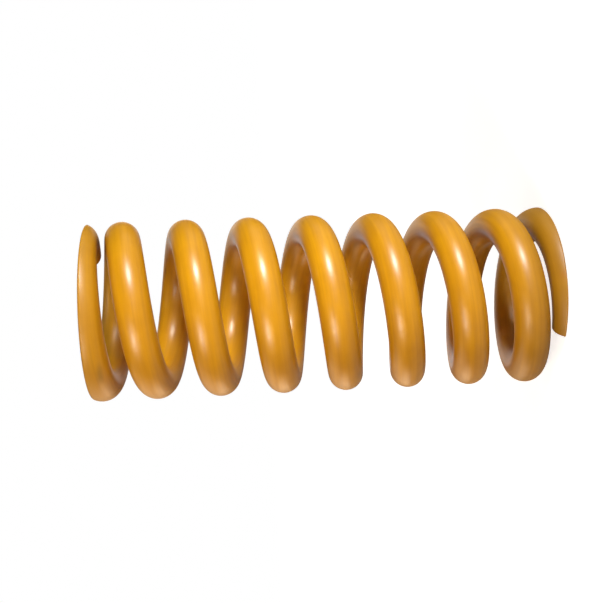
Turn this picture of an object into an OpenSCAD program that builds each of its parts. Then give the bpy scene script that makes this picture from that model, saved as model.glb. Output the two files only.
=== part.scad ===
// Track tension spring: one round steel bar, coiled right-hand into a heavy compression spring.
// The last turn at each end closes up on its neighbour and is ground flat, square to the axis.
// It stands on its lower ground face, with its axis on Z and the origin at the middle of that face.

/* [Bar] */
// Diameter of the round bar
bar_d = 38; // [26:0.5:42]
// Chamfer round the two sawn tips of the bar
tip_chamfer = 1.5; // [0.5:0.5:3]

/* [Coil] */
// Diameter of the coil at the middle of the bar
mean_d = 158; // [130:1:240]
// Free length from one ground face to the other
free_length = 503; // [440:1:640]
// Turns of the bar from tip to tip
turns = 8.43; // [7:0.01:9.5]
// Angle of the lower tip about the axis, from +X
lower_tip_angle = -120; // [-180:1:180]

/* [Lower end] */
// Gap between the lower tip and the next turn
lower_gap = 3; // [1:0.5:8]
// Turns that stay closed from the lower tip on
lower_closed = 0.1; // [0:0.05:0.5]
// Turns over which the lower end then opens to the full pitch
lower_opening = 1.5; // [0.8:0.05:1.8]
// Thickness that grinding leaves at the lower tip
lower_tip = 9.5; // [6:0.5:14]

/* [Upper end] */
// Gap between the upper tip and the next turn
upper_gap = 3.5; // [1:0.5:8]
// Turns that stay closed from the upper tip on
upper_closed = 0.65; // [0.3:0.05:0.8]
// Turns over which the upper end then opens to the full pitch
upper_opening = 0.45; // [0.2:0.05:1]
// Thickness that grinding leaves at the upper tip
upper_tip = 7.5; // [6:0.5:14]

/* [Hidden] */
// Rings of points in each turn of the bar, and points in each ring
rings_per_turn = 36;
ring_points = 18;

bar_r = bar_d / 2;
mean_r = mean_d / 2;
turn_length = PI * mean_d;

// Share of the full pitch that an end has gained x of the way through its opening, and its sum so far
function eased(x) = x * x * (3 - 2 * x);
function eased_sum(x) = x ^ 3 - x ^ 4 / 2;
function part_open(t, closed, opening) = min(max((t - closed) / opening, 0), 1);

// Turns' worth of full pitch that an end still lacks at t turns from its tip, and up to there
function lack(t, closed, opening) = 1 - eased(part_open(t, closed, opening));
function lack_sum(t, closed, opening) =
    min(t, closed + opening) - opening * eased_sum(part_open(t, closed, opening));

// The first turn of each end rises by the bar and its gap
lower_rise = bar_d + lower_gap;
upper_rise = bar_d + upper_gap;
lower_first = lack_sum(1, lower_closed, lower_opening);
upper_first = lack_sum(1, upper_closed, upper_opening);
lower_ratio = lack_sum(turns, lower_closed, lower_opening) / lower_first;
upper_ratio = lack_sum(turns, upper_closed, upper_opening) / upper_first;

// How far the middle of the bar lies outside the ground face at each tip
lower_cut = bar_r - lower_tip;
upper_cut = bar_r - upper_tip;

// Full pitch of the open turns, and how much less the closed turns rise
pitch = (free_length + lower_cut + upper_cut - lower_ratio * lower_rise - upper_ratio * upper_rise)
    / (turns - lower_ratio - upper_ratio);
lower_less = (pitch - lower_rise) / lower_first;
upper_less = (pitch - upper_rise) / upper_first;

// Rise per turn, and height of the bar's middle, at t turns from the lower tip
function rise(t) = pitch
    - lower_less * lack(t, lower_closed, lower_opening)
    - upper_less * lack(turns - t, upper_closed, upper_opening);
function height(t) = pitch * t - lower_cut
    - lower_less * lack_sum(t, lower_closed, lower_opening)
    - upper_less * (lack_sum(turns, upper_closed, upper_opening)
        - lack_sum(turns - t, upper_closed, upper_opening));

// A ring of points of radius r round the bar, square to it, at t turns from the lower tip
function ring(t, r) =
    let (
        a = lower_tip_angle + 360 * t,
        lean = atan2(rise(t), turn_length),
        out = [cos(a), sin(a), 0],
        across = [sin(a) * sin(lean), -cos(a) * sin(lean), cos(lean)],
        middle = mean_r * out + [0, 0, height(t)]
    )
    [for (i = [0 : ring_points - 1])
        let (b = 360 * i / ring_points)
        middle + r * (cos(b) * out + sin(b) * across)];

// The whole bar before grinding: rings along the coil, with a smaller ring at each sawn tip
module coiled_bar() {
    steps = ceil(turns * rings_per_turn);
    chamfer_turns = tip_chamfer / turn_length;
    tip_r = bar_r - tip_chamfer;
    rings = concat(
        [ring(0, tip_r), ring(chamfer_turns, bar_r)],
        [for (k = [1 : steps - 1]) ring(turns * k / steps, bar_r)],
        [ring(turns - chamfer_turns, bar_r), ring(turns, tip_r)]
    );
    last = (len(rings) - 1) * ring_points;
    sides = [for (k = [0 : len(rings) - 2], i = [0 : ring_points - 1])
        let (
            low = k * ring_points,
            high = low + ring_points,
            next = (i + 1) % ring_points
        )
        each [[low + i, low + next, high + next], [low + i, high + next, high + i]]];
    lower_end = [for (i = [ring_points - 1 : -1 : 0]) i];
    upper_end = [for (i = [0 : ring_points - 1]) last + i];
    polyhedron([for (r = rings) each r], concat([lower_end], sides, [upper_end]), convexity = 20);
}

// What the grinding wheel takes off beyond a face whose lower side is at height z
module ground_away(z) {
    wheel = mean_d + 2 * bar_d;
    translate([-wheel / 2, -wheel / 2, z])
        cube([wheel, wheel, bar_d]);
}

module track_spring() {
    color("goldenrod")
        difference() {
            coiled_bar();
            ground_away(-bar_d);
            ground_away(free_length);
        }
}

track_spring();
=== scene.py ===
"""Dress the track tension spring.

The object is a heavy right-hand compression spring: one round steel bar, hot-coiled, its end turns closed
and ground flat, then sprayed all over with yellow-orange enamel. It stands on its lower ground face, with
its axis on Z. In the photograph it lies down: the photograph's up is +X here, its left is +Z, and its
camera looks along +Y. All lengths are in metres.
"""

from __future__ import annotations

import logging
import math
from dataclasses import dataclass, field
from enum import Enum
from typing import Any

import bpy
import numpy as np
from mathutils import Matrix, Vector

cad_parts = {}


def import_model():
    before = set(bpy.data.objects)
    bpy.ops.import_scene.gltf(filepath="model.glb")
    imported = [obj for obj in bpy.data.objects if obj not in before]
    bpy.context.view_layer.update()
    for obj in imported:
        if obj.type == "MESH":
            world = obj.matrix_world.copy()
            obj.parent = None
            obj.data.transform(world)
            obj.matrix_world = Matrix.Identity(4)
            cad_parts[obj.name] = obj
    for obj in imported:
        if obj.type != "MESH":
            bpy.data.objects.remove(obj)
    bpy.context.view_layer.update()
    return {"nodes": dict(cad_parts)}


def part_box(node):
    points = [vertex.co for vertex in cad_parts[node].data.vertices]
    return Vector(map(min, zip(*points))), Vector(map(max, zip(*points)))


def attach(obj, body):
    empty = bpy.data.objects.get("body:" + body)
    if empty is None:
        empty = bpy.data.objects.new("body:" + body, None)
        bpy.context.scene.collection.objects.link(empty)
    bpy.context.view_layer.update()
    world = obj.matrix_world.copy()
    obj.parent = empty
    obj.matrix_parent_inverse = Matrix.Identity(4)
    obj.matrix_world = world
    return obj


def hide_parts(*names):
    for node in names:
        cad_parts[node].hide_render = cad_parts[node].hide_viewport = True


LOG = logging.getLogger("track_spring")
MM = 0.001
NODE = "track_spring"
BODY = "root"

# Values between which nearly all of a noise texture lies
NOISE_RANGE = (0.3, 0.7)
# Spacing of a wave texture's bands at a scale of 1, where it goes through 20 radians a metre
WAVE_SPACING = 2.0 * math.pi / 20.0
# Reach of a mark that goes all the way round the spring
ALL_ROUND = 2.0
WHITE = "#FFFFFF"

Colour = tuple[float, float, float, float]
Point = tuple[float, float, float]
Values = np.ndarray | float
Socket = bpy.types.NodeSocket
Tree = bpy.types.NodeTree


def linear(hex_colour: str) -> Colour:
    """Turn an sRGB hex colour into linear red, green, blue and alpha, by the sRGB curve.

    Args:
        hex_colour: A hash and six hex digits.

    Returns:
        The linear colour, with an alpha of 1.
    """
    channels = [int(hex_colour[i : i + 2], 16) / 255 for i in (1, 3, 5)]
    red, green, blue = (c / 12.92 if c <= 0.04045 else ((c + 0.055) / 1.055) ** 2.4 for c in channels)
    return red, green, blue, 1.0


def smooth_step(x: Values) -> Values:
    """Ease from 0 to 1 as x goes from 0 to 1: three x squared less two x cubed."""
    x = np.clip(x, 0.0, 1.0)
    return x * x * (3.0 - 2.0 * x)


def put_in_scene(name: str, data: bpy.types.ID) -> bpy.types.Object:
    """Make an object of a mesh, a lamp or a camera, and put it in the scene.

    Args:
        name: The object's name.
        data: What it is an object of.

    Returns:
        The object, at the origin.
    """
    thing = bpy.data.objects.new(name, data)
    bpy.context.scene.collection.objects.link(thing)
    return thing


def empty_tree(owner: bpy.types.Material | bpy.types.World) -> Tree:
    """Give a material or a world an empty node tree.

    Args:
        owner: The material or the world.

    Returns:
        Its node tree.
    """
    owner.use_nodes = True
    owner.node_tree.nodes.clear()
    return owner.node_tree


def add_node(
    tree: Tree,
    kind: str,
    settings: dict[str, Any] | None = None,
    inputs: dict[str | int, Any] | None = None,
) -> bpy.types.Node:
    """Add one node to a tree, with its settings, values and links.

    Args:
        tree: The node tree of a material or the world.
        kind: The node's type name.
        settings: Values of the node's own properties.
        inputs: For each input socket, by name or number, a plain value or the output socket to link.

    Returns:
        The new node.
    """
    node = tree.nodes.new(kind)
    for key, value in (settings or {}).items():
        setattr(node, key, value)
    for key, value in (inputs or {}).items():
        if isinstance(value, Socket):
            tree.links.new(value, node.inputs[key])
        else:
            node.inputs[key].default_value = value
    return node


class Side(Enum):
    """The two ends of the spring. The value is the way along Z that the end faces."""

    LOWER = -1
    UPPER = 1


@dataclass(frozen=True)
class GroundEnd:
    """One closed and ground end of the coil, its turns counted from its own tip.

    Attributes:
        gap: Gap between the tip and the next turn.
        closed: Turns that stay closed from the tip on.
        opening: Turns over which the coil then opens to its full pitch.
        tip: Thickness that grinding leaves at the tip.
    """

    gap: float
    closed: float
    opening: float
    tip: float

    def lack(self, turns: Values) -> Values:
        """Share of the full pitch that the coil still lacks at some turns from the tip."""
        return 1.0 - smooth_step((turns - self.closed) / self.opening)

    def lack_sum(self, turns: Values) -> Values:
        """Sum of that share from the tip on: the integral of one less the smooth step."""
        x = np.clip((turns - self.closed) / self.opening, 0.0, 1.0)
        return np.minimum(turns, self.closed + self.opening) - self.opening * (x**3 - x**4 / 2)


@dataclass
class CoiledBar:
    """The spring: a round bar carried along a helix that closes at both ends, and ground flat there.

    Attributes:
        mean_d: Diameter of the coil at the middle of the bar.
        free_length: Length from ground face to ground face.
        bar_d: Diameter of the bar.
        turns: Turns of the bar from tip to tip.
        tip_angle_deg: Angle of the lower tip about the axis, from +X.
        lower: The lower end.
        upper: The upper end.
        tip_round: Radius of the edge round each sawn tip.
        tip_rings: Rings of points in the round of that edge.
        cap_rings: Rings of points within each sawn tip.
        rings_per_turn: Rings of points in each turn.
        ring_points: Points in each ring.
        corner_deg: Angle from the middle of a ring's ground side, at the ring's natural spacing, of the
            points that become the edge of the ground face.
        least_cut_deg: Smallest cut that gets an edge of its own, as half the angle that it takes off.
        spread: Distance over which the points return to their natural spacing past the ground face.
        edge_passes: Times that the ground edge is eased towards its neighbours.
        lower_cut: How far the bar's middle lies beyond the lower ground face at the tip.
        pitch: Rise of each turn in the middle of the spring.
        rise_lost: For the lower and the upper end, how much less a turn rises while it is closed.
    """

    mean_d: float
    free_length: float
    bar_d: float = 38 * MM
    turns: float = 8.43
    tip_angle_deg: float = -120.0
    lower: GroundEnd = GroundEnd(gap=3 * MM, closed=0.1, opening=1.5, tip=9.5 * MM)
    upper: GroundEnd = GroundEnd(gap=3.5 * MM, closed=0.65, opening=0.45, tip=7.5 * MM)
    tip_round: float = 1.5 * MM
    tip_rings: int = 5
    cap_rings: int = 3
    rings_per_turn: int = 144
    ring_points: int = 72
    corner_deg: float = 60.0
    least_cut_deg: float = 8.0
    spread: float = 25 * MM
    edge_passes: int = 3
    lower_cut: float = field(init=False)
    pitch: float = field(init=False)
    rise_lost: tuple[float, ...] = field(init=False)

    def __post_init__(self) -> None:
        """Work out the full pitch, and how much less each closed end rises, from the driving sizes.

        The first turn of each end rises by the bar's diameter and the gap. Over all its turns the bar's
        middle rises by the free length and both cuts, and one pitch fits that.
        """
        ends = (self.lower, self.upper)
        radius = self.bar_d / 2
        rises = [self.bar_d + end.gap for end in ends]
        firsts = [end.lack_sum(1.0) for end in ends]
        ratios = [end.lack_sum(self.turns) / first for end, first in zip(ends, firsts)]
        cuts = [radius - end.tip for end in ends]
        rise_of_ends = sum(ratio * rise for ratio, rise in zip(ratios, rises))
        self.lower_cut = cuts[0]
        self.pitch = (self.free_length + sum(cuts) - rise_of_ends) / (self.turns - sum(ratios))
        self.rise_lost = tuple((self.pitch - rise) / first for rise, first in zip(rises, firsts))

    @classmethod
    def from_frame(cls) -> CoiledBar:
        """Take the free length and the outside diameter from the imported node's box."""
        low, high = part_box(NODE)
        return cls(mean_d=(high.x - low.x) - cls.bar_d, free_length=high.z - low.z)

    @property
    def turn_length(self) -> float:
        """Length round one flat turn, at the middle of the bar."""
        return math.pi * self.mean_d

    def rise(self, t: np.ndarray) -> np.ndarray:
        """Work out the rise per turn: the full pitch less what each end lacks there.

        Args:
            t: Turns from the lower tip.

        Returns:
            The rise per turn at each t.
        """
        lower = self.rise_lost[0] * self.lower.lack(t)
        upper = self.rise_lost[1] * self.upper.lack(self.turns - t)
        return self.pitch - lower - upper

    def height(self, t: np.ndarray) -> np.ndarray:
        """Work out the height of the bar's middle: the sum of the rise so far, less the lower cut.

        Args:
            t: Turns from the lower tip.

        Returns:
            The height above the lower ground face at each t.
        """
        whole = self.upper.lack_sum(self.turns)
        lower = self.rise_lost[0] * self.lower.lack_sum(t)
        upper = self.rise_lost[1] * (whole - self.upper.lack_sum(self.turns - t))
        return self.pitch * t - self.lower_cut - lower - upper

    def stations(self) -> tuple[np.ndarray, np.ndarray]:
        """Place the rings along the bar, with a quarter round of rings at each tip.

        Returns:
            The turns from the lower tip of each ring, and how far its outline is set in.
        """
        quarter = np.linspace(np.pi / 2, 0.0, self.tip_rings)
        edge = self.tip_round / self.turn_length
        tip_turns = edge * (1.0 - np.sin(quarter))
        tip_inset = self.tip_round * (1.0 - np.cos(quarter))
        count = round(self.turns * self.rings_per_turn)
        middle = np.linspace(edge, self.turns - edge, count)[1:-1]
        turns = np.concatenate([tip_turns, middle, self.turns - tip_turns[::-1]])
        inset = np.concatenate([tip_inset, np.zeros_like(middle), tip_inset[::-1]])
        return turns, inset

    def outline(self, t: np.ndarray, inset: np.ndarray) -> tuple[np.ndarray, np.ndarray, np.ndarray]:
        """Work out the bar's outline, square to the bar, in each ring.

        It is a circle, and where a ground face cuts the circle, the arc beyond the face is a chord. The
        points up to the corner angle, either way from the face's middle, lie on the chord, so that the
        mesh has an edge where the face ends. Past the face they go back to their natural spacing.

        Args:
            t: Turns from the lower tip of each ring.
            inset: How far each ring's outline is set in along its own normals.

        Returns:
            For each ring and point, the coordinate away from the coil's axis and the one along it, both
            from the bar's middle, and 1 on a ground face or 0 elsewhere.
        """
        radius = self.bar_d / 2
        corner, least = np.radians((self.corner_deg, self.least_cut_deg))
        half_step = np.pi / self.ring_points

        # Each point's angle from the way that the nearer ground face looks, and that face's distance
        facing = np.where(t < self.turns / 2, Side.LOWER.value, Side.UPPER.value)[:, None]
        around = 2.0 * np.pi * np.arange(self.ring_points) / self.ring_points
        angle = np.mod(around - facing * np.pi / 2 + np.pi, 2.0 * np.pi) - np.pi
        apart = np.abs(angle)
        height = self.height(t)[:, None]
        lean = np.arctan2(self.rise(t), self.turn_length)[:, None]
        reach = np.where(facing < 0, height, self.free_length - height) / np.cos(lean)

        # The angle at which the face cuts the circle, and the points moved so that one lies there
        cut = np.arccos(np.clip(reach / radius, -1.0, 1.0))
        opened = least + (corner - least) * smooth_step((reach - radius) / self.spread)
        edge = np.where(reach < radius, np.maximum(cut, least), opened)
        beyond = edge + (apart - corner) * (np.pi - edge) / (np.pi - corner)
        moved = np.where(apart <= corner, apart * edge / corner, beyond)

        # The chord on the face and the arc elsewhere
        ground = (cut >= least) & (apart < corner + half_step)
        chord = apart / corner * radius * np.sin(edge)
        sideways = np.sign(angle) * np.where(ground, chord, radius * np.sin(moved))
        towards = np.where(ground, reach, np.minimum(radius * np.cos(moved), reach))

        # The edge of the face eased, and each ring set in
        near_edge = (cut >= least) * np.exp(-(((apart - corner) / (2.0 * half_step)) ** 2))
        out = self.eased(-facing * sideways, near_edge)
        along = self.eased(facing * towards, near_edge)
        out, along = self.set_in(out, along, inset[:, None])
        return out, along, ground.astype(float)

    def eased(self, values: np.ndarray, share: np.ndarray) -> np.ndarray:
        """Move values half way towards the mean of their two neighbours in the ring, a few times.

        Args:
            values: One coordinate, as rings by points.
            share: Share of the move that each point makes.

        Returns:
            The moved values.
        """
        for _ in range(self.edge_passes):
            beside = (np.roll(values, 1, 1) + np.roll(values, -1, 1)) / 2
            values = values + share * (beside - values) / 2
        return values

    @staticmethod
    def set_in(out: np.ndarray, along: np.ndarray, inset: np.ndarray) -> tuple[np.ndarray, np.ndarray]:
        """Set outlines in along their own normals, each square to the line between its two neighbours.

        Args:
            out: Each point's coordinate away from the axis.
            along: Each point's coordinate along the axis.
            inset: How far each ring is set in.

        Returns:
            The two coordinates after that.
        """
        step_out = np.roll(out, -1, 1) - np.roll(out, 1, 1)
        step_along = np.roll(along, -1, 1) - np.roll(along, 1, 1)
        length = np.hypot(step_out, step_along)
        return out - inset * step_along / length, along + inset * step_out / length

    def rings(self, t: np.ndarray, out: np.ndarray, along: np.ndarray) -> np.ndarray:
        """Carry the outlines along the helix.

        The middle of the bar is at the mean radius, t full turns round and at height(t). Each outline
        stands on two directions there: straight out from the axis, and square to both that and the bar.

        Args:
            t: Turns from the lower tip of each ring.
            out: Each point's coordinate away from the axis.
            along: Each point's coordinate along the axis.

        Returns:
            The points, as rings by points by three.
        """
        turn = np.radians(self.tip_angle_deg) + 2.0 * np.pi * t
        lean = np.arctan2(self.rise(t), self.turn_length)
        cos_turn, sin_turn, level = np.cos(turn), np.sin(turn), np.zeros_like(turn)
        away = np.stack([cos_turn, sin_turn, level], 1)
        across = np.stack([sin_turn * np.sin(lean), -cos_turn * np.sin(lean), np.cos(lean)], 1)
        middle = self.mean_d / 2 * away + np.stack([level, level, self.height(t)], 1)
        return middle[:, None] + out[..., None] * away[:, None] + along[..., None] * across[:, None]

    def capped(self, sweep: np.ndarray) -> np.ndarray:
        """Close a sweep with shrinking rings and a middle point at each end.

        Args:
            sweep: The rings, as rings by points by values.

        Returns:
            All points, ring after ring, then the two middle points.
        """
        shrink = np.linspace(0.0, 1.0, self.cap_rings + 2)[1:-1, None, None]
        middles = sweep[[0, -1]].mean(1)
        lower_cap = middles[0] + shrink * (sweep[0] - middles[0])
        upper_cap = middles[1] + shrink[::-1] * (sweep[-1] - middles[1])
        rings = np.concatenate([lower_cap, sweep, upper_cap])
        return np.concatenate([rings.reshape(-1, sweep.shape[2]), middles])

    def faces(self, rings: int) -> list[list[int]]:
        """List the faces of a capped sweep: quads between its rings, and a fan of triangles at each end.

        Args:
            rings: How many rings it has, with those of its caps.

        Returns:
            The numbers of each face's points, which go round it so that it faces outwards.
        """
        points = self.ring_points
        column = np.arange(points)
        beside = (column + 1) % points
        low = points * np.arange(rings - 1)[:, None]
        high = low + points
        quads = np.stack([low + column, high + column, high + beside, low + beside], -1).reshape(-1, 4)
        last = (rings - 1) * points
        lower_middle = np.full(points, rings * points)
        lower_fan = np.stack([lower_middle, column, beside], 1)
        upper_fan = np.stack([lower_middle + 1, last + beside, last + column], 1)
        return quads.tolist() + lower_fan.tolist() + upper_fan.tolist()

    def build(self) -> bpy.types.Object:
        """Make the mesh of the spring.

        Returns:
            The spring's object, at the origin. Its mesh has two attributes: straight, the coordinates on
            the bar as it was before coiling, with X along it, and ground, which is 1 on the ground faces.
        """
        t, inset = self.stations()
        out, along, ground = self.outline(t, inset)
        length = np.broadcast_to((t * self.turn_length)[:, None], out.shape)
        on_bar = np.stack([length, out, along, ground], -1)
        points = self.capped(np.concatenate([self.rings(t, out, along), on_bar], -1))
        faces = self.faces(len(points) // self.ring_points)

        mesh = bpy.data.meshes.new("coiled_bar")
        mesh.from_pydata(points[:, :3].tolist(), [], faces)
        mesh.polygons.foreach_set("use_smooth", np.ones(len(faces), bool))
        straight = mesh.attributes.new("straight", "FLOAT_VECTOR", "POINT")
        straight.data.foreach_set("vector", points[:, 3:6].astype(np.float32).ravel())
        mark = mesh.attributes.new("ground", "FLOAT", "POINT")
        mark.data.foreach_set("value", points[:, 6].astype(np.float32))
        mesh.update()
        return put_in_scene("coiled_bar", mesh)


@dataclass(frozen=True)
class SmudgeOrShade:
    """A faint mark on the paint near one end, strongest at its middle. Some are smudges of dirt and rust,
    and some are painted shade.

    Attributes:
        side: The end that it is near.
        place: Its middle, with Z measured from that end's ground face into the spring.
        reach: How far it goes along X, Y and Z.
        colour: Its colour.
        strength: Share of the paint's colour that it takes over at its middle.
        dull: How much rougher it makes the paint at its middle.
    """

    side: Side
    place: Point
    reach: Point
    colour: str
    strength: float
    dull: float = 0.0

    def middle(self, length: float) -> Point:
        """Give the mark's middle on a spring of some length."""
        x, y, depth = self.place
        return x, y, depth if self.side is Side.LOWER else length - depth

    def share(self, tree: Tree, place: Socket, length: float) -> Socket:
        """Tell how much of the mark there is: 1 at its middle, easing to 0 at its reach.

        Args:
            tree: The material's node tree.
            place: Object coordinates.
            length: The spring's free length.

        Returns:
            The share.
        """
        away = add_node(
            tree, "ShaderNodeVectorMath", {"operation": "SUBTRACT"}, {0: place, 1: self.middle(length)}
        ).outputs[0]
        scaled = add_node(
            tree, "ShaderNodeVectorMath", {"operation": "DIVIDE"}, {0: away, 1: self.reach}
        ).outputs[0]
        distance = add_node(
            tree, "ShaderNodeVectorMath", {"operation": "LENGTH"}, {0: scaled}
        ).outputs["Value"]
        return add_node(
            tree,
            "ShaderNodeMapRange",
            {"interpolation_type": "SMOOTHSTEP"},
            {"Value": distance, "To Min": 1.0, "To Max": 0.0},
        ).outputs["Result"]


@dataclass(frozen=True)
class SprayedEnamel:
    """Yellow-orange machinery enamel, sprayed in one coat over a hot-rolled bar.

    To the eye it is a warm, even coat with a semi-gloss skin: highlights have a bright core and a soft
    edge, the coat is a little thinner in streaks along the bar, the spray leaves a faint orange peel, and
    the bar's own waviness bends the highlights a little.

    Attributes:
        name: Name of the material.
        coat: Colour of a full coat.
        thin: Colour where the coat is thin, a little browner.
        cover: Sums of the noises of streaks and patches at which the coat is thin, and is full.
        ior: Refraction of the skin.
        gloss: Level of the skin's own reflection, where 0.5 is plain for its refraction.
        roughness: Roughness of the skin.
        roughness_spread: How far the roughness wanders either way.
        streak: Length and width of the streaks along the bar.
        mottle: Width of the patches of thicker and thinner paint.
        peel: Width of the orange peel, drawn a little coarse so that it shows.
        peel_depth: Depth of the orange peel.
        wave: Length of the bar's waviness.
        wave_depth: Depth of the bar's waviness.
        grind: Spacing of the grinding marks, drawn a little coarse so that they show.
        grind_depth: Depth of the grinding marks under the paint.
        smudges_and_shade: Marks on the paint: smudges of dirt and rust, and patches of painted shade.
    """

    name: str = "sprayed_enamel"
    coat: str = "#CB8F0A"
    thin: str = "#B97E08"
    cover: tuple[float, float] = (0.7, 1.3)
    ior: float = 1.5
    gloss: float = 0.66
    roughness: float = 0.36
    roughness_spread: float = 0.02
    streak: tuple[float, float] = (90 * MM, 3.5 * MM)
    mottle: float = 50 * MM
    peel: float = 3.5 * MM
    peel_depth: float = 0.006 * MM
    wave: float = 40 * MM
    wave_depth: float = 0.12 * MM
    grind: float = 2.5 * MM
    grind_depth: float = 0.04 * MM
    smudges_and_shade: tuple[SmudgeOrShade, ...] = (
        # A greasy smear on the upper end turn, and a rusty spot by the lower ground face
        SmudgeOrShade(Side.UPPER, (-0.066, -0.068, 0.016), (0.021, 0.021, 0.005), "#5A450F", 0.35),
        SmudgeOrShade(Side.LOWER, (0.0175, -0.094, 0.004), (0.009, 0.012, 0.006), "#C46D18", 0.35),
        # Painted shade: a dark patch in the narrow gap at the upper tip, where shade falls, with the
        # paint made duller there
        SmudgeOrShade(Side.UPPER, (0.068, 0.0, 0.016), (0.03, 0.07, 0.014), "#392409", 0.6, dull=0.3),
        # All the way round both end turns, with duller paint: painted shade on the lower end turn,
        # darkening it where less light falls, and grime from handling on the upper one
        SmudgeOrShade(Side.LOWER, (0.0, 0.0, 0.0), (ALL_ROUND, ALL_ROUND, 0.07), "#5F440A", 0.45, dull=0.12),
        SmudgeOrShade(Side.UPPER, (0.0, 0.0, 0.0), (ALL_ROUND, ALL_ROUND, 0.03), "#5F440A", 0.2, dull=0.12),
    )

    def colour(self, tree: Tree, patches: Socket, marks: list[Socket]) -> Socket:
        """Colour the coat: thinner in streaks and patches, with the smudges and the patches of painted
        shade on top.

        Args:
            tree: The material's node tree.
            patches: The noise of the patches.
            marks: The share of each smudge or patch of painted shade.

        Returns:
            The colour.
        """
        bar = add_node(tree, "ShaderNodeAttribute", {"attribute_name": "straight"}).outputs["Vector"]
        length, width = self.streak
        stretched = add_node(
            tree, "ShaderNodeVectorMath", {"operation": "DIVIDE"}, {0: bar, 1: (length, width, width)}
        ).outputs[0]
        streaks = add_node(
            tree, "ShaderNodeTexNoise", inputs={"Vector": stretched, "Scale": 1.0, "Detail": 2.0}
        ).outputs["Fac"]
        both = add_node(tree, "ShaderNodeMath", {"operation": "ADD"}, {0: streaks, 1: patches}).outputs[0]
        thinnest, fullest = self.cover
        thickness = add_node(
            tree, "ShaderNodeMapRange", inputs={"Value": both, "From Min": thinnest, "From Max": fullest}
        ).outputs["Result"]
        layers = [(thickness, self.coat)]
        for smudge_or_shade, mark in zip(self.smudges_and_shade, marks):
            share = add_node(
                tree, "ShaderNodeMath", {"operation": "MULTIPLY"}, {0: mark, 1: smudge_or_shade.strength}
            ).outputs[0]
            layers.append((share, smudge_or_shade.colour))
        colour: Socket | Colour = linear(self.thin)
        for share, over in layers:
            colour = add_node(
                tree, "ShaderNodeMix", {"data_type": "RGBA"}, {0: share, 6: colour, 7: linear(over)}
            ).outputs[2]
        return colour

    def normal(self, tree: Tree, place: Socket) -> Socket:
        """Bend the surface: the bar's waviness, the orange peel, and grinding marks on the ground faces.

        Args:
            tree: The material's node tree.
            place: Object coordinates.

        Returns:
            The normal.
        """
        wave = add_node(
            tree, "ShaderNodeTexNoise", inputs={"Vector": place, "Scale": 1 / self.wave, "Detail": 1.0}
        ).outputs["Fac"]
        peel = add_node(
            tree, "ShaderNodeTexNoise", inputs={"Vector": place, "Scale": 1 / self.peel, "Detail": 2.0}
        ).outputs["Fac"]
        lines = add_node(
            tree,
            "ShaderNodeTexWave",
            {"bands_direction": "X"},
            {"Vector": place, "Scale": WAVE_SPACING / self.grind, "Distortion": 2.0, "Detail": 2.0},
        ).outputs["Fac"]
        ground = add_node(tree, "ShaderNodeAttribute", {"attribute_name": "ground"}).outputs["Fac"]
        grinding = add_node(
            tree, "ShaderNodeMath", {"operation": "MULTIPLY"}, {0: lines, 1: ground}
        ).outputs[0]
        reliefs = ((wave, self.wave_depth), (peel, self.peel_depth), (grinding, self.grind_depth))
        normal = add_node(tree, "ShaderNodeNewGeometry").outputs["Normal"]
        for height, depth in reliefs:
            normal = add_node(
                tree,
                "ShaderNodeBump",
                inputs={"Strength": 1.0, "Distance": depth, "Height": height, "Normal": normal},
            ).outputs["Normal"]
        return normal

    def material(self, spring_length: float) -> bpy.types.Material:
        """Make the material, all of it on Object coordinates and the mesh's own attributes.

        Args:
            spring_length: The spring's free length, from which the smudges and painted shade at its upper
                end are placed.

        Returns:
            The material.
        """
        material = bpy.data.materials.new(self.name)
        tree = empty_tree(material)
        place = add_node(tree, "ShaderNodeTexCoord").outputs["Object"]
        patches = add_node(
            tree,
            "ShaderNodeTexNoise",
            inputs={"Vector": place, "Scale": 1 / self.mottle, "Detail": 3.0, "Roughness": 0.55},
        ).outputs["Fac"]
        low, high = NOISE_RANGE
        rough = add_node(
            tree,
            "ShaderNodeMapRange",
            inputs={
                "Value": patches,
                "From Min": low,
                "From Max": high,
                "To Min": self.roughness + self.roughness_spread,
                "To Max": self.roughness - self.roughness_spread,
            },
        ).outputs["Result"]
        marks = [smudge_or_shade.share(tree, place, spring_length) for smudge_or_shade in self.smudges_and_shade]
        for smudge_or_shade, mark in zip(self.smudges_and_shade, marks):
            rough = add_node(
                tree, "ShaderNodeMath", {"operation": "MULTIPLY_ADD"}, {0: mark, 1: smudge_or_shade.dull, 2: rough}
            ).outputs[0]
        skin = add_node(
            tree,
            "ShaderNodeBsdfPrincipled",
            inputs={
                "Base Color": self.colour(tree, patches, marks),
                "Roughness": rough,
                "IOR": self.ior,
                "Specular IOR Level": self.gloss,
                "Normal": self.normal(tree, place),
            },
        ).outputs["BSDF"]
        add_node(tree, "ShaderNodeOutputMaterial", inputs={"Surface": skin})
        return material


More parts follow.
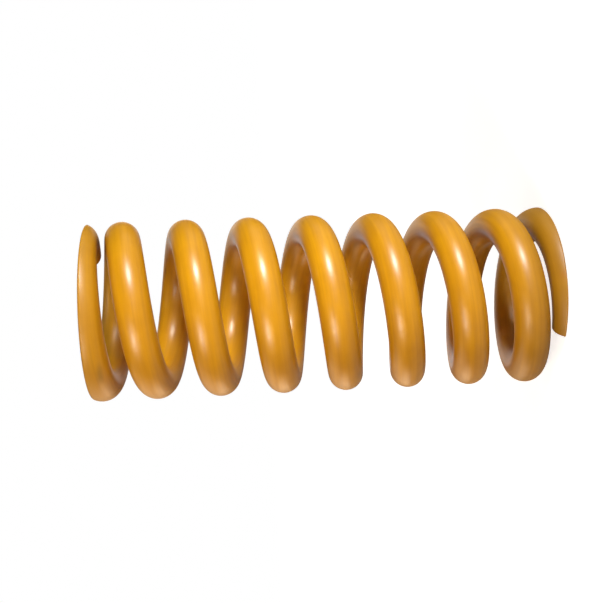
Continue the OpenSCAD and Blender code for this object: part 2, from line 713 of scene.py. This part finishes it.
@dataclass(frozen=True)
class StudioWhite:
    """The white of the studio: a pale floor that keeps the spring's shadow, and the space behind it.

    Attributes:
        paint: Colour of the floor.
        near_glow: White that is added to the floor where it is seen, next to the spring.
        far_glow: The same where the lamps no longer reach the floor.
        fade: Distances from the axis at which the one starts to turn into the other, and has done so.
        ambient: Strength of the light that the space gives.
        mirrored: Share of the white that shows in reflections, as most of the studio round it is dark.
        backdrop: The same share straight behind the spring, where a lit backdrop stands.
        backdrop_edge: How far towards +Y a reflection points, of 1, where the backdrop begins, and where
            it shows in full.
        floor_side: Side of the square floor.
        floor_drop: How far the floor lies under the spring.
    """

    paint: str = "#DADAD8"
    near_glow: float = 0.75
    far_glow: float = 1.0
    fade: tuple[float, float] = (0.2, 1.0)
    ambient: float = 0.01
    mirrored: float = 0.02
    backdrop: float = 0.2
    backdrop_edge: tuple[float, float] = (0.5, 0.95)
    floor_side: float = 16.0
    floor_drop: float = 0.2 * MM

    def seen(self, tree: Tree, share: Socket | float) -> Socket:
        """Tell how white the white looks to each ray.

        Args:
            tree: The node tree of the world or the floor.
            share: Share of the white that glossy and transmission rays see.

        Returns:
            The strength: 1 to camera rays, that share to glossy and transmission rays, and 0 to the rest.
        """
        path = add_node(tree, "ShaderNodeLightPath")
        mirrored = add_node(
            tree,
            "ShaderNodeMath",
            {"operation": "MAXIMUM"},
            {0: path.outputs["Is Glossy Ray"], 1: path.outputs["Is Transmission Ray"]},
        ).outputs[0]
        shared = add_node(
            tree, "ShaderNodeMath", {"operation": "MULTIPLY"}, {0: mirrored, 1: share}
        ).outputs[0]
        return add_node(
            tree,
            "ShaderNodeMath",
            {"operation": "MAXIMUM"},
            {0: path.outputs["Is Camera Ray"], 1: shared},
        ).outputs[0]

    def world(self) -> bpy.types.World:
        """Make the world: plain white where it is seen, brightest behind the spring in reflections.

        Returns:
            The world.
        """
        world = bpy.data.worlds.new("studio_white")
        tree = empty_tree(world)
        way = add_node(tree, "ShaderNodeTexCoord").outputs["Generated"]
        back = add_node(tree, "ShaderNodeSeparateXYZ", inputs={0: way}).outputs["Y"]
        begins, full = self.backdrop_edge
        share = add_node(
            tree,
            "ShaderNodeMapRange",
            {"interpolation_type": "SMOOTHSTEP"},
            {
                "Value": back,
                "From Min": begins,
                "From Max": full,
                "To Min": self.mirrored,
                "To Max": self.backdrop,
            },
        ).outputs["Result"]
        seen = self.seen(tree, share)
        strength = add_node(
            tree, "ShaderNodeMath", {"operation": "MAXIMUM"}, {0: seen, 1: self.ambient}
        ).outputs[0]
        space = add_node(
            tree, "ShaderNodeBackground", inputs={"Color": linear(WHITE), "Strength": strength}
        ).outputs[0]
        add_node(tree, "ShaderNodeOutputWorld", inputs={"Surface": space})
        return world

    def floor_material(self) -> bpy.types.Material:
        """Make the floor's pale matt paint, which takes the shadow, with white added where it is seen.

        Returns:
            The material.
        """
        material = bpy.data.materials.new("floor_paint")
        tree = empty_tree(material)
        matt = add_node(tree, "ShaderNodeBsdfDiffuse", inputs={"Color": linear(self.paint)}).outputs[0]
        place = add_node(tree, "ShaderNodeTexCoord").outputs["Object"]
        distance = add_node(
            tree, "ShaderNodeVectorMath", {"operation": "LENGTH"}, {0: place}
        ).outputs["Value"]
        near, far = self.fade
        glow = add_node(
            tree,
            "ShaderNodeMapRange",
            {"interpolation_type": "SMOOTHSTEP"},
            {
                "Value": distance,
                "From Min": near,
                "From Max": far,
                "To Min": self.near_glow,
                "To Max": self.far_glow,
            },
        ).outputs["Result"]
        seen = self.seen(tree, self.mirrored)
        strength = add_node(
            tree, "ShaderNodeMath", {"operation": "MULTIPLY"}, {0: seen, 1: glow}
        ).outputs[0]
        white = add_node(
            tree, "ShaderNodeEmission", inputs={"Color": linear(WHITE), "Strength": strength}
        ).outputs[0]
        whole = add_node(tree, "ShaderNodeAddShader", inputs={0: matt, 1: white}).outputs[0]
        add_node(tree, "ShaderNodeOutputMaterial", inputs={"Surface": whole})
        return material

    def floor(self) -> bpy.types.Object:
        """Make the floor, a flat square just under the spring.

        Returns:
            The floor's object.
        """
        half = self.floor_side / 2
        ways = ((-1, -1), (1, -1), (1, 1), (-1, 1))
        corners = [(x * half, y * half, -self.floor_drop) for x, y in ways]
        mesh = bpy.data.meshes.new("studio_floor")
        mesh.from_pydata(corners, [], [(0, 1, 2, 3)])
        mesh.materials.append(self.floor_material())
        floor = put_in_scene("studio_floor", mesh)
        return floor


class Tint(Enum):
    """Colour of a lamp's light: plain, or warmed as by a table beside the yellow paint."""

    PLAIN = WHITE
    PALE = "#FFE6C2"
    WARM = "#FFD795"


@dataclass(frozen=True)
class Softbox:
    """A soft lamp of the studio, aimed at the spring.

    Attributes:
        name: Name of the lamp.
        place: Where its middle is.
        sides: Its two sides, the second one being nearest to Z.
        power: Its power in watts.
        grid_deg: Angle that the grid in front of it leaves open, which keeps its light on the spring.
        tint: Colour of its light.
    """

    name: str
    place: Point
    sides: tuple[float, float]
    power: float
    grid_deg: float = 180.0
    tint: Tint = Tint.PLAIN

    def add(self, aim: Vector) -> bpy.types.Object:
        """Add the lamp, out of the camera's own sight.

        Args:
            aim: The point that it faces.

        Returns:
            The lamp's object.
        """
        lamp = bpy.data.lights.new(self.name, "AREA")
        lamp.shape = "RECTANGLE"
        lamp.size, lamp.size_y = self.sides
        lamp.energy = self.power
        lamp.color = linear(self.tint.value)[:3]
        lamp.spread = math.radians(self.grid_deg)
        softbox = put_in_scene(self.name, lamp)
        softbox.location = self.place
        softbox.rotation_euler = (aim - Vector(self.place)).to_track_quat("-Z", "Y").to_euler()
        softbox.visible_camera = False
        return softbox


@dataclass(frozen=True)
class StudioLight:
    """The lamps of the studio, all of them aimed at one point on the spring's axis.

    Above, below, left and right are the photograph's: +X, -X, +Z and -Z.

    Attributes:
        aim_share: Share of the spring's length, from its lower face, at which that point lies.
        lamps: The lamps.
    """

    aim_share: float = 0.58
    lamps: tuple[Softbox, ...] = (
        # Above the camera and beside it: most of the light, and the upper row of highlights
        Softbox("key_softbox", (1.425, -1.39, 0.32), (0.35, 0.4), 5.8, 60.0),
        Softbox("front_fill", (0.195, -1.386, 0.252), (0.5, 0.5), 0.9),
        # Below the camera and to its left: the lower row of highlights, with a warm fringe
        Softbox("low_softbox", (-0.727, -0.872, 0.885), (0.36, 0.36), 0.66, 55.0),
        Softbox("low_fringe", (-0.559, -0.804, 0.452), (0.35, 0.35), 0.8, 100.0, Tint.WARM),
        Softbox("low_left", (-0.615, -0.483, 1.025), (0.35, 0.35), 0.3, 100.0, Tint.WARM),
        # Below and behind: what a table would send back
        Softbox("table_bounce", (-0.68, 0.55, 0.41), (0.8, 0.8), 1.5, tint=Tint.PALE),
        Softbox("table_right", (-0.75, 0.45, 0.2), (0.5, 0.35), 1.0, tint=Tint.PALE),
        Softbox("under_bounce", (-0.697, 0.061, 0.31), (0.6, 0.6), 0.2, tint=Tint.WARM),
        Softbox("left_bounce", (-0.613, 0.257, 0.697), (0.6, 0.6), 0.75, tint=Tint.PALE),
        # Behind and above: thin pale rims, and light on the tops of the turns
        Softbox("back_rim", (0.174, 0.853, 0.744), (0.5, 0.5), 0.56, tint=Tint.PALE),
        Softbox("top_light", (0.99, 0.139, 0.31), (0.6, 0.6), 0.64),
        # The far side of the spring, and its upper end
        Softbox("back_fill", (0.25, 1.6, 0.45), (0.9, 0.8), 2.3),
        Softbox("overhead", (0.0, 0.0, 2.0), (0.3, 0.3), 0.1, 40.0),
    )

    def add(self, spring_length: float) -> list[bpy.types.Object]:
        """Add all the lamps, for a spring of some length."""
        aim = Vector((0.0, 0.0, self.aim_share * spring_length))
        return [lamp.add(aim) for lamp in self.lamps]


@dataclass(frozen=True)
class PhotoCamera:
    """The camera of the photograph, lying on its side because the spring stands up here.

    Attributes:
        azimuth_deg: Where it stands about the spring's axis, from -Y.
        distance: How far it stands from the axis.
        height: How high it stands above the lower ground face.
        dip_deg: How far it looks down from the level.
        swing_deg: How far it looks past the axis, towards +X.
        roll_deg: How far it is turned from lying flat on its side.
        focal_px: Its focal length in pixels of the photograph.
        long_side_px: The longer side of the photograph.
        sensor_mm: The longer side of its sensor.
    """

    azimuth_deg: float = -0.95
    distance: float = 1.0844
    height: float = 0.3496
    dip_deg: float = 4.0605
    swing_deg: float = 0.1361
    roll_deg: float = -2.3645
    focal_px: float = 974.75
    long_side_px: int = 603
    sensor_mm: float = 36.0

    def axes(self) -> tuple[Vector, Vector, Vector]:
        """Work out the camera's own right, up and forward directions.

        Lying flat on its side, it looks level at the axis, with its right side down. It then dips, swings
        and rolls.

        Returns:
            The three unit vectors.
        """
        around = math.radians(self.azimuth_deg)
        dip, swing, roll = (math.radians(a) for a in (self.dip_deg, self.swing_deg, self.roll_deg))
        level = Vector((-math.sin(around), math.cos(around), 0.0))
        side = Vector((math.cos(around), math.sin(around), 0.0))
        down = level.cross(side)
        dipped = math.cos(dip) * level + math.sin(dip) * down
        forward = math.cos(swing) * dipped + math.sin(swing) * side
        right = forward.cross(side).normalized()
        up = right.cross(forward)
        turned_right = math.cos(roll) * right + math.sin(roll) * up
        turned_up = math.cos(roll) * up - math.sin(roll) * right
        return turned_right, turned_up, forward

    def add(self) -> bpy.types.Object:
        """Add the camera and make it the scene's own.

        Returns:
            The camera's object.
        """
        right, up, forward = self.axes()
        around = math.radians(self.azimuth_deg)
        out = Vector((math.sin(around), -math.cos(around), 0.0))
        place = self.distance * out + Vector((0.0, 0.0, self.height))
        lens = bpy.data.cameras.new("photo_camera")
        lens.sensor_width = self.sensor_mm
        lens.lens = self.focal_px * self.sensor_mm / self.long_side_px
        camera = put_in_scene("photo_camera", lens)
        turn = Matrix((right, up, -forward)).transposed().to_4x4()
        camera.matrix_world = Matrix.Translation(place) @ turn
        bpy.context.scene.camera = camera
        return camera


def main() -> None:
    """Load the frame, build the spring and its studio, and note the sizes."""
    logging.basicConfig(level=logging.INFO, format="%(name)s: %(message)s")
    scene = bpy.context.scene
    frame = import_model()
    LOG.info("frame: nodes %s", sorted(frame["nodes"]))
    scene.view_settings.view_transform = "Standard"

    coil = CoiledBar.from_frame()
    spring = coil.build()
    spring.data.materials.append(SprayedEnamel().material(coil.free_length))
    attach(spring, BODY)
    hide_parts(NODE)
    LOG.info("%s: %d faces, pitch %.1f mm", spring.name, len(spring.data.polygons), coil.pitch / MM)

    white = StudioWhite()
    scene.world = white.world()
    LOG.info("%s: %.0f m square", white.floor().name, white.floor_side)
    for lamp in StudioLight().add(coil.free_length):
        LOG.info("%s: %.2f W", lamp.name, lamp.data.energy)
    camera = PhotoCamera().add()
    LOG.info("%s: %.1f mm lens", camera.name, camera.data.lens)


if __name__ == "__main__":
    main()
